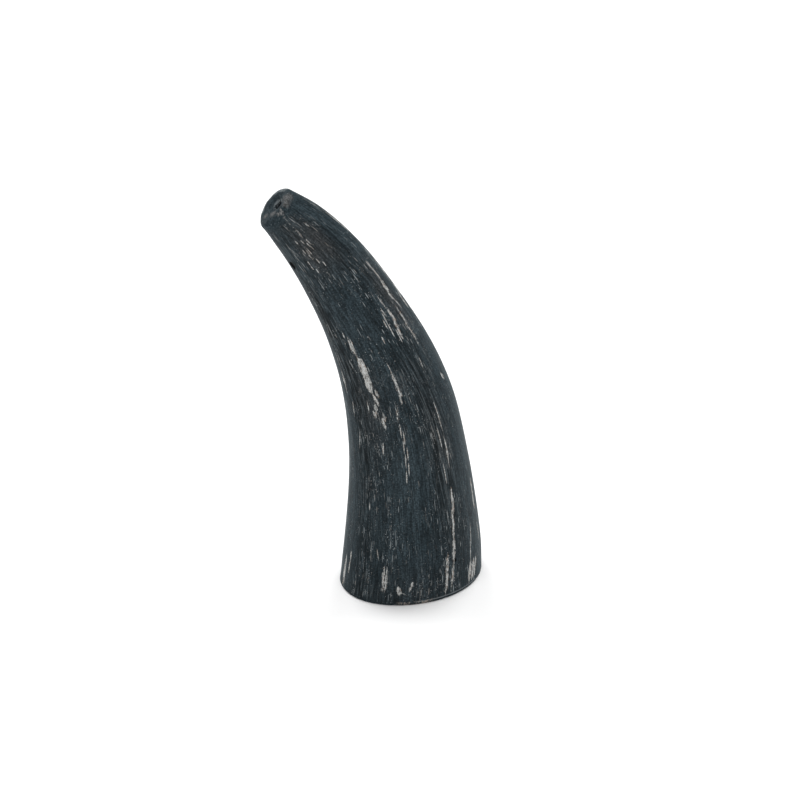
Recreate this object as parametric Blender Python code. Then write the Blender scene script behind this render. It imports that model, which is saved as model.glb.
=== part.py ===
"""A shofar: one small natural horn, cut flat at its wide end and drilled through from its cut tip.

Horn grows as nested cones, each formed inside the last, and it flakes and wears along the joins
between them. The model keeps that structure: three open cones sit one inside the other. The dark
outer layer is worn through in narrow windows, the pale middle layer is solid towards the tip and
carries the mouthpiece and the drilled bore, and a thin inner layer lines the natural hollow.

Frame: +Z is up and the wide rim stands on z = 0. The horn curves in the XZ plane with its tip
towards -X, and the origin lies under the middle of its bounding box.
"""
import math

import bmesh
import bpy
import numpy as np

# ---- Driving dimensions: metres, and degrees where the name says so ---------------------------
AXIS_LENGTH = 0.224

# Eight evenly spaced stations along the axis, from the rim to the tip.
LEAN_DEG = (-4.0, 1.5, 5.0, 12.0, 22.0, 28.5, 36.0, 49.5)
HALF_WIDTH = (0.0386, 0.0349, 0.0309, 0.0276, 0.0234, 0.0193, 0.0156, 0.0104)

DEPTH_RATIO_RIM = 0.815      # short half-width over long half-width
DEPTH_RATIO_TIP = 0.905
TWIST_DEG_RIM = 14.0         # the long half-width's turn away from the plane of the curve
TWIST_DEG_TIP = 8.0
LEVEL_CUT_BLEND = 0.12       # part of the axis over which sections level out to the flat rim

LAYER_GAP = 0.0003
OUTER_LAYER = 0.0010
WALL_AT_RIM = 0.0050
INNER_LAYER = 0.0012

HOLLOW_TOP = 0.58            # where the natural hollow ends, as a part of the axis
HOLLOW_TAPER = 1.5           # 1 is a straight cone, more is a rounder one
HOLLOW_TOP_WIDTH = 0.0035    # half-width left where the drill breaks into the hollow

BORE_RADIUS = 0.0022
BORE_RISE = 0.0020           # the blow hole lies this far above the middle of the cut tip
DISH_RADIUS = 0.0056         # the shallow mouthpiece dish in the cut tip
DISH_DEPTH = 0.0015
DISH_FLOOR_WIDTH = 0.6       # the dish is this much of its width where it has dropped
DISH_FLOOR_DROP = 0.6        # this much of its depth

RIM_CHAMFER = (0.0012, 0.0008)    # height and depth of the broken edge at the rim
TIP_CHAMFER = (0.0017, 0.0008)    # and at the cut tip

SIDES = 36                   # points round each section
LEVELS = 15                  # bays along the axis
HOLLOW_LEVELS = 9            # bays along the hollow
BORE_LEVELS = 6              # bays along the drilled bore
AXIS_STEPS = 600

# Worn windows in the outer layer: distance up the axis, angle round it, length and width.
WORN_WINDOWS = (
    (0.1285, -139.5, 0.0180, 0.0034),
    (0.1470, -140.0, 0.0080, 0.0018),
    (0.1055, -134.0, 0.0130, 0.0016),
    (0.1190, -108.5, 0.0180, 0.0016),
    (0.1450, -72.0, 0.0130, 0.0018),
    (0.1615, -52.0, 0.0080, 0.0030),
    (0.0300, -80.0, 0.0150, 0.0018),
    (0.0130, -88.5, 0.0140, 0.0014),
    (0.0140, -141.5, 0.0120, 0.0024),
    (0.0092, -60.0, 0.0080, 0.0030),
    (0.1975, -171.5, 0.0036, 0.0010),
)
WINDOW_CUT_DEPTH = 0.0030
WINDOW_POINTS = 12


# ---- Smooth curves through the stations --------------------------------------------------------
def station_curvature(values):
    """Second derivatives of the natural cubic spline through evenly spaced values."""
    count = len(values)
    matrix = np.eye(count)
    change = np.zeros(count)
    for i in range(1, count - 1):
        matrix[i, i - 1:i + 2] = (1.0, 4.0, 1.0)
        change[i] = 6.0 * (values[i - 1] - 2.0 * values[i] + values[i + 1])
    return np.linalg.solve(matrix, change)


def along(values, u):
    """The value at u, from 0 at the rim to 1 at the tip."""
    values = np.asarray(values, dtype=float)
    bend = station_curvature(values)
    place = min(max(u, 0.0), 1.0) * (len(values) - 1)
    i = min(int(place), len(values) - 2)
    after = place - i
    before = 1.0 - after
    straight = before * values[i] + after * values[i + 1]
    return straight + ((before ** 3 - before) * bend[i] + (after ** 3 - after) * bend[i + 1]) / 6.0


def mix(low, high, t):
    return low + (high - low) * t


def axis_points():
    """The axis from the rim's middle, by adding up short steps along its lean."""
    points = [np.zeros(3)]
    for i in range(AXIS_STEPS):
        lean = math.radians(along(LEAN_DEG, (i + 0.5) / AXIS_STEPS))
        direction = np.array((-math.sin(lean), 0.0, math.cos(lean)))
        points.append(points[-1] + direction * AXIS_LENGTH / AXIS_STEPS)
    return np.array(points)


AXIS = axis_points()


# ---- Sections of the horn ----------------------------------------------------------------------
def half_widths(u):
    """Long and short half-widths of the horn's outside."""
    long_half = along(HALF_WIDTH, u)
    return long_half, long_half * mix(DEPTH_RATIO_RIM, DEPTH_RATIO_TIP, u)


def hollow_half_widths(u):
    """Long and short half-widths of the natural hollow."""
    long_rim, short_rim = half_widths(0.0)
    taper = 1.0 - min(u / HOLLOW_TOP, 1.0) ** HOLLOW_TAPER
    long_half = mix(HOLLOW_TOP_WIDTH, long_rim - WALL_AT_RIM, taper)
    short_half = mix(HOLLOW_TOP_WIDTH, short_rim - WALL_AT_RIM, taper)
    return long_half, short_half


def section_point(u, long_way, short_way):
    """A point of the section at u, from its distances along the section's two directions."""
    lean = math.radians(along(LEAN_DEG, u))
    twist = math.radians(mix(TWIST_DEG_RIM, TWIST_DEG_TIP, u))
    across = long_way * math.cos(twist) - short_way * math.sin(twist)
    back = long_way * math.sin(twist) + short_way * math.cos(twist)
    level = max(1.0 - u / LEVEL_CUT_BLEND, 0.0)
    rise = -math.tan(math.radians(LEAN_DEG[0])) * level * across
    step = min(int(u * AXIS_STEPS), AXIS_STEPS - 1)
    centre = mix(AXIS[step], AXIS[step + 1], u * AXIS_STEPS - step)
    normal = np.array((math.cos(lean), 0.0, math.sin(lean)))
    tangent = np.array((-math.sin(lean), 0.0, math.cos(lean)))
    return centre + across * normal + rise * tangent + np.array((0.0, back, 0.0))


def ring(u, halves, grow=0.0, shift=0.0):
    """One closed ring of points: an ellipse whose half-widths grow, moved across the section."""
    points = []
    for i in range(SIDES):
        angle = 2.0 * math.pi * i / SIDES
        long_way = (halves[0] + grow) * math.cos(angle) + shift
        short_way = (halves[1] + grow) * math.sin(angle)
        points.append(section_point(u, long_way, short_way))
    return points


def surface_frame(u, angle_deg):
    """A point of the outside, with the directions up the horn, round it and out of it."""
    angle = math.radians(angle_deg)

    def outside(at_u, at_angle):
        long_half, short_half = half_widths(at_u)
        return section_point(at_u, long_half * math.cos(at_angle), short_half * math.sin(at_angle))

    point = outside(u, angle)
    up = outside(u + 0.01, angle) - point
    up /= np.linalg.norm(up)
    side = outside(u, angle + 0.05) - outside(u, angle - 0.05)
    side -= up * np.dot(side, up)
    side /= np.linalg.norm(side)
    return point, up, side, np.cross(side, up)


def levels_between(low, high, count):
    return [mix(low, high, i / count) for i in range(count + 1)]


RIM_TOP = RIM_CHAMFER[0] / AXIS_LENGTH             # where the rim's chamfer ends
TIP_LOW = 1.0 - TIP_CHAMFER[0] / AXIS_LENGTH       # where the tip's chamfer starts
BODY_LEVELS = levels_between(RIM_TOP, TIP_LOW, LEVELS)


def outside_rings():
    """The horn's outside, from the rim's chamfer to the cut tip's."""
    rings = [ring(0.0, half_widths(0.0), -RIM_CHAMFER[1])]
    rings += [ring(u, half_widths(u)) for u in BODY_LEVELS]
    rings += [ring(1.0, half_widths(1.0), -TIP_CHAMFER[1])]
    return rings


def origin_shift():
    """The move that brings the origin under the middle of the horn's bounding box."""
    points = np.array(outside_rings()).reshape(-1, 3)
    middle = (points.min(axis=0) + points.max(axis=0)) / 2.0
    return np.array((-middle[0], -middle[1], 0.0))


SHIFT = origin_shift()


# ---- From rings to solids ----------------------------------------------------------------------
def material(name, colour, roughness):
    """A plain finish with the part's colour."""
    made = bpy.data.materials.new(name)
    made.use_nodes = True
    shader = made.node_tree.nodes["Principled BSDF"]
    shader.inputs["Base Color"].default_value = (*colour, 1.0)
    shader.inputs["Roughness"].default_value = roughness
    shader.inputs["Metallic"].default_value = 0.0
    return made


def add_object(name, mesh_data, finish=None):
    mesh = bpy.data.meshes.new(name)
    mesh_data.to_mesh(mesh)
    mesh_data.free()
    made = bpy.data.objects.new(name, mesh)
    bpy.context.scene.collection.objects.link(made)
    if finish:
        mesh.materials.append(finish)
    return made


def cone_of_rings(name, rings, finish):
    """A solid from rings that run up its outside, over its top and down its inside to the start."""
    body = bmesh.new()
    loops = [[body.verts.new(point + SHIFT) for point in points] for points in rings]
    for lower, upper in zip(loops, loops[1:] + loops[:1]):
        for i in range(SIDES):
            k = (i + 1) % SIDES
            body.faces.new((lower[i], lower[k], upper[k], upper[i]))
    made = add_object(name, body, finish)
    made.data.shade_smooth()
    made.data.set_sharp_from_angle(angle=math.radians(35.0))
    return made


# ---- The three layers --------------------------------------------------------------------------
def outer_layer(finish):
    """The thin dark layer, open at the rim and round the cut tip."""
    inside = [1.0] + BODY_LEVELS[::-1] + [0.0]
    rings = outside_rings()
    rings += [ring(u, half_widths(u), -OUTER_LAYER) for u in inside]
    return cone_of_rings("outer_horn_layer", rings, finish)


def middle_layer(finish):
    """The pale layer: a wall round the hollow, and solid above it but for the bore."""
    outside = [0.0] + BODY_LEVELS + [1.0]
    rings = [ring(u, half_widths(u), -(OUTER_LAYER + LAYER_GAP)) for u in outside]

    dish_floor = DISH_FLOOR_WIDTH * DISH_RADIUS
    dish_side = 1.0 - DISH_FLOOR_DROP * DISH_DEPTH / AXIS_LENGTH
    rings += [ring(1.0, (DISH_RADIUS, DISH_RADIUS), shift=BORE_RISE)]
    rings += [ring(dish_side, (dish_floor, dish_floor), shift=BORE_RISE)]

    bore_top = 1.0 - DISH_DEPTH / AXIS_LENGTH
    pocket_top = HOLLOW_TOP + LAYER_GAP / AXIS_LENGTH
    for u in levels_between(bore_top, pocket_top, BORE_LEVELS):
        climb = (u - pocket_top) / (bore_top - pocket_top)
        rings += [ring(u, (BORE_RADIUS, BORE_RADIUS), shift=BORE_RISE * climb)]

    pocket_wall = INNER_LAYER + LAYER_GAP
    rings += [ring(pocket_top, hollow_half_widths(HOLLOW_TOP), pocket_wall)]
    for u in levels_between(HOLLOW_TOP, 0.0, HOLLOW_LEVELS):
        rings += [ring(u, hollow_half_widths(u), pocket_wall)]
    return cone_of_rings("middle_horn_layer", rings, finish)


def inner_layer(finish):
    """The youngest layer, which lines the natural hollow."""
    levels = levels_between(0.0, HOLLOW_TOP, HOLLOW_LEVELS)
    rings = [ring(u, hollow_half_widths(u), INNER_LAYER) for u in levels]
    rings += [ring(u, hollow_half_widths(u)) for u in levels[::-1]]
    return cone_of_rings("inner_horn_layer", rings, finish)


# ---- Wear ----------------------------------------------------------------------------------------
def add_window_cutter(body, distance, angle_deg, length, width):
    """A pointed prism, long up the horn and thin round it, that reaches through the outer layer."""
    point, up, side, out = surface_frame(distance / AXIS_LENGTH, angle_deg)
    outline = []
    for i in range(WINDOW_POINTS):
        turn = 2.0 * math.pi * i / WINDOW_POINTS
        lengthwise = 0.5 * length * math.cos(turn)
        sideways = 0.5 * width * math.sin(turn) * abs(math.sin(turn)) ** 0.5
        outline.append(point + SHIFT + lengthwise * up + sideways * side)
    top = [body.verts.new(place + out * WINDOW_CUT_DEPTH / 2.0) for place in outline]
    bottom = [body.verts.new(place - out * WINDOW_CUT_DEPTH / 2.0) for place in outline]
    body.faces.new(top[::-1])
    body.faces.new(bottom)
    for i in range(WINDOW_POINTS):
        k = (i + 1) % WINDOW_POINTS
        body.faces.new((top[i], top[k], bottom[k], bottom[i]))


def wear_windows(layer):
    """Cuts the worn windows through the outer layer, so that the pale layer shows in them."""
    body = bmesh.new()
    for window in WORN_WINDOWS:
        add_window_cutter(body, *window)
    bmesh.ops.recalc_face_normals(body, faces=body.faces)
    cutter = add_object("wear_cutter", body)
    cutter.hide_render = True
    cutter.display_type = "WIRE"
    cut = layer.modifiers.new("worn windows", "BOOLEAN")
    cut.operation = "DIFFERENCE"
    cut.object = cutter
    cut.solver = "EXACT"


def main():
    for existing in list(bpy.data.objects):
        bpy.data.objects.remove(existing, do_unlink=True)
    dark = material("dark_horn", (0.026, 0.036, 0.044), 0.50)
    pale = material("pale_horn", (0.42, 0.36, 0.29), 0.60)
    brown = material("brown_horn", (0.17, 0.12, 0.08), 0.75)
    wear_windows(outer_layer(dark))
    middle_layer(pale)
    inner_layer(brown)


main()
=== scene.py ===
"""The looks of the shofar: a dark, weathered natural horn standing on its wide end.

Three visual pieces stand for the three layers of the CAD model. Each is built from rings round
the horn's axis and carries a procedural horn material. Smooth noise makes the outside uneven.
Lengths are in metres unless a name ends in _MM or a comment says millimetres. A place on the
horn is given by its distance from the rim along the axis and by an angle round it, with 0 on the
outer side of the curve (+X) and -90 on the side of -Y, where the camera is.
"""
import math

import bpy
import numpy as np
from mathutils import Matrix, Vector


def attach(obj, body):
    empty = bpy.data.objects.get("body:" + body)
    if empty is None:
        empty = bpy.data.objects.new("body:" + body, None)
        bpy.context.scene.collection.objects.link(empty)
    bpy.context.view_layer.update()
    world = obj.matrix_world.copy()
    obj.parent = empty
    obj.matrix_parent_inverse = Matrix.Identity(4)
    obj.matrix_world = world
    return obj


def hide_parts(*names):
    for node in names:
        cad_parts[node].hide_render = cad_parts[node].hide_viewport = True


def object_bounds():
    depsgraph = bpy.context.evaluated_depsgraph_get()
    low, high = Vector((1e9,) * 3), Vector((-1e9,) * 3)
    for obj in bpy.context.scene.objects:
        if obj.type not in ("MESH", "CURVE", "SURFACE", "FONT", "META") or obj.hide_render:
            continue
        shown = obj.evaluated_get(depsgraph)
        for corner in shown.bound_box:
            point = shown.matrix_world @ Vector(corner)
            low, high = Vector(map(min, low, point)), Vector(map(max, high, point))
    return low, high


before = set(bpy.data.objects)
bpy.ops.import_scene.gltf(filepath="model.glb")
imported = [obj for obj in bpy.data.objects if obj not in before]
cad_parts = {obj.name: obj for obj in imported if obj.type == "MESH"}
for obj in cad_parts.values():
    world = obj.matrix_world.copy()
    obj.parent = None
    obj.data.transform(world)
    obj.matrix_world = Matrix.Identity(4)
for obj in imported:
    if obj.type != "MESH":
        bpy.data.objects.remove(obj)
CAD_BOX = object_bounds()

MM = 0.001

# ---- The horn's shape, as the CAD model has it --------------------------------------------------
AXIS_LENGTH = 0.224
# Eight evenly spaced stations along the axis, from the rim to the tip.
LEAN_DEG = (-4.0, 1.5, 5.0, 12.0, 22.0, 28.5, 36.0, 49.5)
HALF_WIDTH = (0.0386, 0.0349, 0.0309, 0.0276, 0.0234, 0.0193, 0.0156, 0.0104)
DEPTH_RATIO_RIM = 0.815      # short half-width over long half-width
DEPTH_RATIO_TIP = 0.905
TWIST_DEG_RIM = 14.0         # the long half-width's turn away from the plane of the curve
TWIST_DEG_TIP = 8.0
LEVEL_CUT_BLEND = 0.12       # part of the axis over which sections level out to the flat rim
OUTER_LAYER = 0.0010
WALL_AT_RIM = 0.0050
INNER_LAYER = 0.0012
HOLLOW_TOP = 0.58            # where the natural hollow ends, as a part of the axis
HOLLOW_TAPER = 1.5           # 1 is a straight cone, more is a rounder one
HOLLOW_TOP_WIDTH = 0.0035    # half-width left where the drill breaks into the hollow
BORE_RADIUS = 0.0022
BORE_RISE = 0.0020           # the blow hole lies this far above the middle of the cut tip
DISH_RADIUS = 0.0056         # the shallow mouthpiece dish in the cut tip
DISH_DEPTH = 0.0015
DISH_ROUNDNESS = 1.6         # 1 is a straight cone, more is a rounder dish

TIP_MM = AXIS_LENGTH / MM    # the tip's distance from the rim
RIM_ROUND = 0.0012           # radii of the rounded edges at the rim and at the cut tip
TIP_ROUND = 0.0017
HAIRLINE = 0.00002           # between layers, so that no two faces lie in one place

# ---- How finely the pieces are meshed -----------------------------------------------------------
SIDES = 360                  # points round each ring
LINING_SIDES = 180
SKIN_LEVELS = 230            # rings along the outside, and along walls that another piece hides
HIDDEN_LEVELS = 18
HOLLOW_LEVELS = 24
LINING_LEVELS = 40
FACE_LEVELS = 15             # rings across the cut tip, down its dish, and down the bore
DISH_LEVELS = 13
BORE_LEVELS = 23
ARC_STEPS = 7
AXIS_STEPS = 2000
SHARP_ANGLE_DEG = 40.0       # edges that bend by more than this are shaded sharp
LOW_GRAIN_MM = 35.0          # radii of the straight cylinders that the fibre patterns lie on:
HIGH_GRAIN_MM = 15.0         # one for the wide end and one for the narrow end
GRAIN_CHANGE_MM = (95.0, 150.0)        # where one pattern gives way to the other
DASH_CHANGE_MM = (105.0, 140.0)        # and where it does so for the scratches

# ---- Wear ---------------------------------------------------------------------------------------
# Worn places: (top, angle there, bottom, angle there, strands, half-width, spread). Tops, bottoms,
# half-widths and spreads are in millimetres and angles in degrees. A loop draws the strands.
CREAM_PLACES = (
    # the large patch half-way up: its top, its body and its ragged lower end
    (152, -139.5, 143, -139.5, 1, 0.85, 0.0),
    (145, -140, 139, -138, 1, 0.40, 0.0),
    (141, -138, 119, -137, 2, 1.65, 0.3),
    (121, -138, 98, -134.5, 9, 0.50, 2.4),
    # narrow streaks to the right of it
    (127, -107.5, 109, -108.5, 4, 0.45, 0.4),
    (108, -116.5, 102, -117.5, 1, 0.30, 0.0),
    # near the outer side of the curve
    (166, -49.5, 155, -51, 3, 0.75, 0.4),
    (155, -69.5, 138, -74, 6, 0.50, 0.4),
    (151, -56, 130, -58, 3, 0.38, 0.4),
    (111, -46, 107, -44, 1, 0.70, 0.0),
    (54, -42, 38, -44, 2, 0.70, 0.3),
    # the inner side of the curve
    (132, -177.5, 123, -177, 1, 0.55, 0.0),
    # the long split streak that runs down to the rim
    (57, -77, 31, -80, 5, 0.48, 0.6),
    (32, -80.5, 19, -82.5, 2, 0.66, 0.2),
    (20, -82.5, 4, -85.5, 1, 0.38, 0.0),
    (24, -87.5, 3, -91, 2, 0.60, 0.3),
    # marks along the rim, from left to right
    (20, -190, 1.2, -193, 1, 1.15, 0.0),
    (24, -180.5, 11, -183, 2, 0.50, 0.3),
    (21, -142.5, 8, -143, 1, 0.45, 0.0),
    (20, -140, 8, -141, 1, 0.55, 0.0),
    (11, -130, 6, -128.5, 1, 0.85, 0.0),
    (8, -128.5, 6, -123.5, 1, 0.62, 0.0),
    (13, -118, 8, -120, 2, 0.38, 0.2),
    (15, -62, 2.5, -65.5, 1, 1.10, 0.0),
    (14, -57.5, 2.5, -61.5, 1, 1.05, 0.0),
    (15, -53, 3, -57.5, 1, 1.00, 0.0),
)
TAN_PLACES = (
    # thin streaks below the cut tip
    (214, -102.5, 208, -105.5, 1, 0.40, 0.0),
    (210, -118, 189, -116, 13, 0.26, 3.4),
    (212, -143.5, 200, -144.5, 1, 0.20, 0.0),
    (213, -81, 209, -80, 1, 0.30, 0.0),
    # beside the marks on the outer side of the curve
    (178, -47.5, 165, -50, 3, 0.48, 0.4),
    (157, -49.5, 148, -48, 2, 0.32, 0.3),
    (163, -80, 136, -84, 9, 0.27, 3.4),
    (154, -28.5, 144, -31, 1, 0.80, 0.0),
    (146, -98, 141, -98.5, 1, 0.32, 0.0),
    (126, -68, 119, -70, 1, 0.30, 0.0),
    # beside the large patch and on the inner side of the curve
    (156, -144, 152, -144.5, 1, 0.28, 0.0),
    (140, -134, 131, -133.5, 1, 0.30, 0.0),
    (133, -107.5, 127, -107, 1, 0.28, 0.0),
    (117, -146, 107, -148, 1, 0.35, 0.0),
    (115, -166, 104, -168, 2, 0.32, 2.0),
    (145, -177, 118, -177.5, 2, 0.28, 0.2),
    # down the middle
    (100, -116, 66, -120, 7, 0.30, 1.8),
    (104, -79, 60, -76, 6, 0.30, 2.6),
    (98, -165.5, 85, -170, 1, 0.30, 0.0),
    (91, -138, 83, -140, 1, 0.35, 0.0),
    (56, -159, 51, -158.5, 1, 0.35, 0.0),
    # towards the rim
    (35, -58, 13, -62, 2, 0.32, 0.6),
    (31, -43.5, 18, -41, 1, 0.50, 0.0),
    (31, -150, 24, -147.5, 1, 0.25, 0.0),
)
# Small black pits: (from, angle, to, angle, half-width)
PIT_STROKES = (
    (200.1, -171.0, 195.0, -170.5, 1.70),
    (20.5, -80.5, 18.0, -80.5, 0.50),
)
CREAM_SEED, TAN_SEED = 31, 32
STRAND_CROWDING = 0.72                 # 1 would lay a place's strands end to end, less overlaps
STROKE_BLUNTNESS = 2.5                 # more gives a stroke blunter ends
FAR_OUTSIDE_MM = -3.0                  # the least half-width, where a stroke isn't
CLEAR_MM = 2.0                         # strokes nearer than this go to different sets
UNSEEN_SIDE_DEG = (-22.0, 150.0)       # nothing shows what is there, so its wear is scattered
UNSEEN_STROKES = 26
UNSEEN_SEED = 21
CREAM_DEPTH_MM = 0.20
PIT_DEPTH_MM = 0.70
WHITTLED_SIDE_DEG = -112.0             # the cut tip is rounded off further on this side
WHITTLED_MM = 1.9
FAR_EDGE_LIFT_MM = 0.7                 # and stands a little higher on the other side
TIP_RELIEF_REACH = 0.004               # how far the relief of each cut end reaches into the horn
RIM_RELIEF_REACH = 0.003
TIP_CUT_SPAN_MM = 40.0                 # wider than the tip, so that its cuts don't repeat on it
RIM_NICK_MM = 0.35
RIM_NICK_FROM = 0.45                   # only the noise above this cuts a nick
SKIN_PROUD_MM = 0.40                   # the weathered skin stands a little outside the CAD's
RIM_LINE_DEG = (-112.0, -58.0)         # where a thin light line shows along the rim, and a smudge
RIM_SMUDGE_DEG = (-126.0, -104.0)
FADE_DEG = 6.0


# ---- Smooth curves and noise --------------------------------------------------------------------
def station_curvature(values):
    """Second derivatives of the natural cubic spline through evenly spaced values."""
    count = len(values)
    matrix = np.eye(count)
    change = np.zeros(count)
    for i in range(1, count - 1):
        matrix[i, i - 1:i + 2] = (1.0, 4.0, 1.0)
        change[i] = 6.0 * (values[i - 1] - 2.0 * values[i] + values[i + 1])
    return np.linalg.solve(matrix, change)


def along(values, u):
    """Values at u, from 0 at the rim to 1 at the tip; u may be an array."""
    values = np.asarray(values, dtype=float)
    bend = station_curvature(values)
    station = np.clip(u, 0.0, 1.0) * (len(values) - 1)
    i = np.minimum(station.astype(int), len(values) - 2)
    after = station - i
    before = 1.0 - after
    straight = before * values[i] + after * values[i + 1]
    return straight + ((before ** 3 - before) * bend[i] + (after ** 3 - after) * bend[i + 1]) / 6.0


def mix(low, high, t):
    return low + (high - low) * t


def smooth_step(low, high, value):
    t = np.clip((value - low) / (high - low), 0.0, 1.0)
    return t * t * (3.0 - 2.0 * t)


class Noise:
    """Smooth value noise, up to its height either way.

    It repeats in its first direction, once for each turn. In the other one its cells have a
    length in millimetres.
    """

    ROWS = 400
    FIRST_ROW = 10.0         # rows kept below zero, since distances on a section can be negative

    def __init__(self, seed, cells_round, cell_mm, height=1.0):
        self.cells_round = cells_round
        self.cell_mm = cell_mm
        self.height = height
        rng = np.random.default_rng(seed)
        self.grid = rng.uniform(-1.0, 1.0, (self.ROWS, cells_round))

    def __call__(self, turn, distance_mm):
        x = (turn % 1.0) * self.cells_round
        y = np.clip(distance_mm / self.cell_mm + self.FIRST_ROW, 0.0, self.ROWS - 2.0)
        i, j = y.astype(int), x.astype(int)
        fy, fx = y - i, x - j
        fy, fx = fy * fy * (3.0 - 2.0 * fy), fx * fx * (3.0 - 2.0 * fx)
        j, k = j % self.cells_round, (j + 1) % self.cells_round
        low = mix(self.grid[i, j], self.grid[i, k], fx)
        high = mix(self.grid[i + 1, j], self.grid[i + 1, k], fx)
        return self.height * mix(low, high, fy)


# ---- The horn's surfaces ------------------------------------------------------------------------
AXIS_U = np.linspace(0.0, 1.0, AXIS_STEPS + 1)
AXIS_LEAN = np.radians(along(LEAN_DEG, AXIS_U))


def axis_points():
    """The axis from the rim's middle, by adding up short steps along its lean."""
    middle = (AXIS_LEAN[1:] + AXIS_LEAN[:-1]) / 2.0
    step = AXIS_LENGTH / AXIS_STEPS
    x = np.concatenate(([0.0], np.cumsum(-np.sin(middle) * step)))
    z = np.concatenate(([0.0], np.cumsum(np.cos(middle) * step)))
    return x, z


AXIS_X, AXIS_Z = axis_points()


def place(u, long_way, short_way, lift=0.0):
    """Points of the sections at u, from distances along each section's two directions.

    A lift moves them out of their section, along the axis.
    """
    lean = np.interp(u, AXIS_U, AXIS_LEAN)
    twist = np.radians(mix(TWIST_DEG_RIM, TWIST_DEG_TIP, u))
    across = long_way * np.cos(twist) - short_way * np.sin(twist)
    back = long_way * np.sin(twist) + short_way * np.cos(twist)
    level = np.clip(1.0 - u / LEVEL_CUT_BLEND, 0.0, 1.0)
    rise = -math.tan(math.radians(LEAN_DEG[0])) * level * across + lift
    x = np.interp(u, AXIS_U, AXIS_X) + across * np.cos(lean) - rise * np.sin(lean)
    z = np.interp(u, AXIS_U, AXIS_Z) + across * np.sin(lean) + rise * np.cos(lean)
    return np.stack(np.broadcast_arrays(x, back, z), axis=-1)


def half_widths(u):
    """Half the horn's width and half its depth at u."""
    long_half = along(HALF_WIDTH, u)
    return long_half, long_half * mix(DEPTH_RATIO_RIM, DEPTH_RATIO_TIP, u)


def hollow_half_widths(u):
    """The same for the natural hollow, which narrows to the drilled bore."""
    long_rim, short_rim = half_widths(np.array(0.0))
    taper = 1.0 - np.minimum(u / HOLLOW_TOP, 1.0) ** HOLLOW_TAPER
    long_half = mix(HOLLOW_TOP_WIDTH, long_rim - WALL_AT_RIM, taper)
    short_half = mix(HOLLOW_TOP_WIDTH, short_rim - WALL_AT_RIM, taper)
    return long_half, short_half


def rounded_edge(radius, inset_from, inset_to):
    """Distances from the horn's end, and insets, along a rounded edge between two insets."""
    turn = np.linspace(math.asin(1.0 - inset_from / radius), math.asin(1.0 - inset_to / radius),
                       ARC_STEPS)
    return radius * (1.0 - np.cos(turn)), radius * (1.0 - np.sin(turn))


# ---- Wear and weathering ------------------------------------------------------------------------
LONG_UNDULATION = Noise(11, 5, 46.0, height=0.22)       # the relief's heights are millimetres
UNDULATION = Noise(12, 13, 19.0, height=0.10)
GROOVES = Noise(13, 84, 30.0, height=0.030)
FINE_GROOVES = Noise(14, 170, 11.0, height=0.012)
TIP_CUTS = Noise(15, 14, 3.4, height=0.22)
RIM_NICKS = Noise(16, 60, 5.0)
BROWN_DRIFT = Noise(17, 6, 34.0, height=0.25)
DARK_DRIFT = Noise(18, 7, 42.0, height=0.5)


def angle_from(turn, angle_deg):
    """Degrees from an angle to each turn, from -180 to 180."""
    return (turn * 360.0 - angle_deg + 180.0) % 360.0 - 180.0


def angle_window(turn, start_deg, end_deg):
    """1 between two angles, fading to 0 within FADE_DEG outside them."""
    middle, half = (start_deg + end_deg) / 2.0, (end_deg - start_deg) / 2.0
    return 1.0 - smooth_step(half, half + FADE_DEG, np.abs(angle_from(turn, middle)))


def mean_radius_mm(distance_mm):
    long_half, short_half = half_widths(distance_mm * MM / AXIS_LENGTH)
    return (long_half + short_half) / 2.0 / MM


def stroke_lines(strokes, turn, distance_mm):
    """The offset in millimetres across the nearest stroke, and its half-width there.

    Away from a stroke its half-width is made very negative, so that no line appears where the
    nearest stroke changes.
    """
    mm_per_degree = np.radians(mean_radius_mm(distance_mm))
    shape = np.broadcast(turn, distance_mm).shape
    nearest = np.full(shape, -np.inf)
    offset = np.zeros(shape)
    half_width_here = np.zeros(shape)
    for start, start_angle, end, end_angle, half_width in strokes:
        share = (distance_mm - start) / (end - start)
        line_angle = (end_angle - start_angle) * np.clip(share, 0.0, 1.0)
        across = (angle_from(turn, start_angle) - line_angle) * mm_per_degree
        body = half_width * (1.0 - np.abs(2.0 * share - 1.0) ** STROKE_BLUNTNESS)
        body = np.maximum(body, FAR_OUTSIDE_MM)
        guarded = body - 4.0 * np.maximum(np.abs(across) - 1.2 * half_width - 0.5, 0.0)
        closer = body - np.abs(across) > nearest
        nearest = np.where(closer, body - np.abs(across), nearest)
        offset = np.where(closer, across, offset)
        half_width_here = np.where(closer, guarded, half_width_here)
    return offset, half_width_here


def stroke_depth(strokes, turn, distance_mm):
    """How many millimetres inside the strokes each place is; it is negative outside them."""
    offset, half_width = stroke_lines(strokes, turn, distance_mm)
    return half_width - np.abs(offset)


def strands_of(places, seed):
    """Strokes for worn places: each place's strands start evenly down it, and wander sideways."""
    rng = np.random.default_rng(seed)
    strokes = []
    for top, top_angle, bottom, bottom_angle, count, half_width, spread in places:
        length = (top - bottom) / count ** STRAND_CROWDING
        for i in range(count):
            start = top - (top - bottom - length) * i / max(count - 1, 1)
            end = start - length
            wander = rng.uniform(-spread, spread) / math.radians(mean_radius_mm(np.array(start)))
            angles = [wander + mix(top_angle, bottom_angle, (top - at) / (top - bottom))
                      for at in (start, end)]
            width = half_width * rng.uniform(0.85, 1.15)
            strokes.append((start, angles[0], end, angles[1], width))
    return strokes


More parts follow.
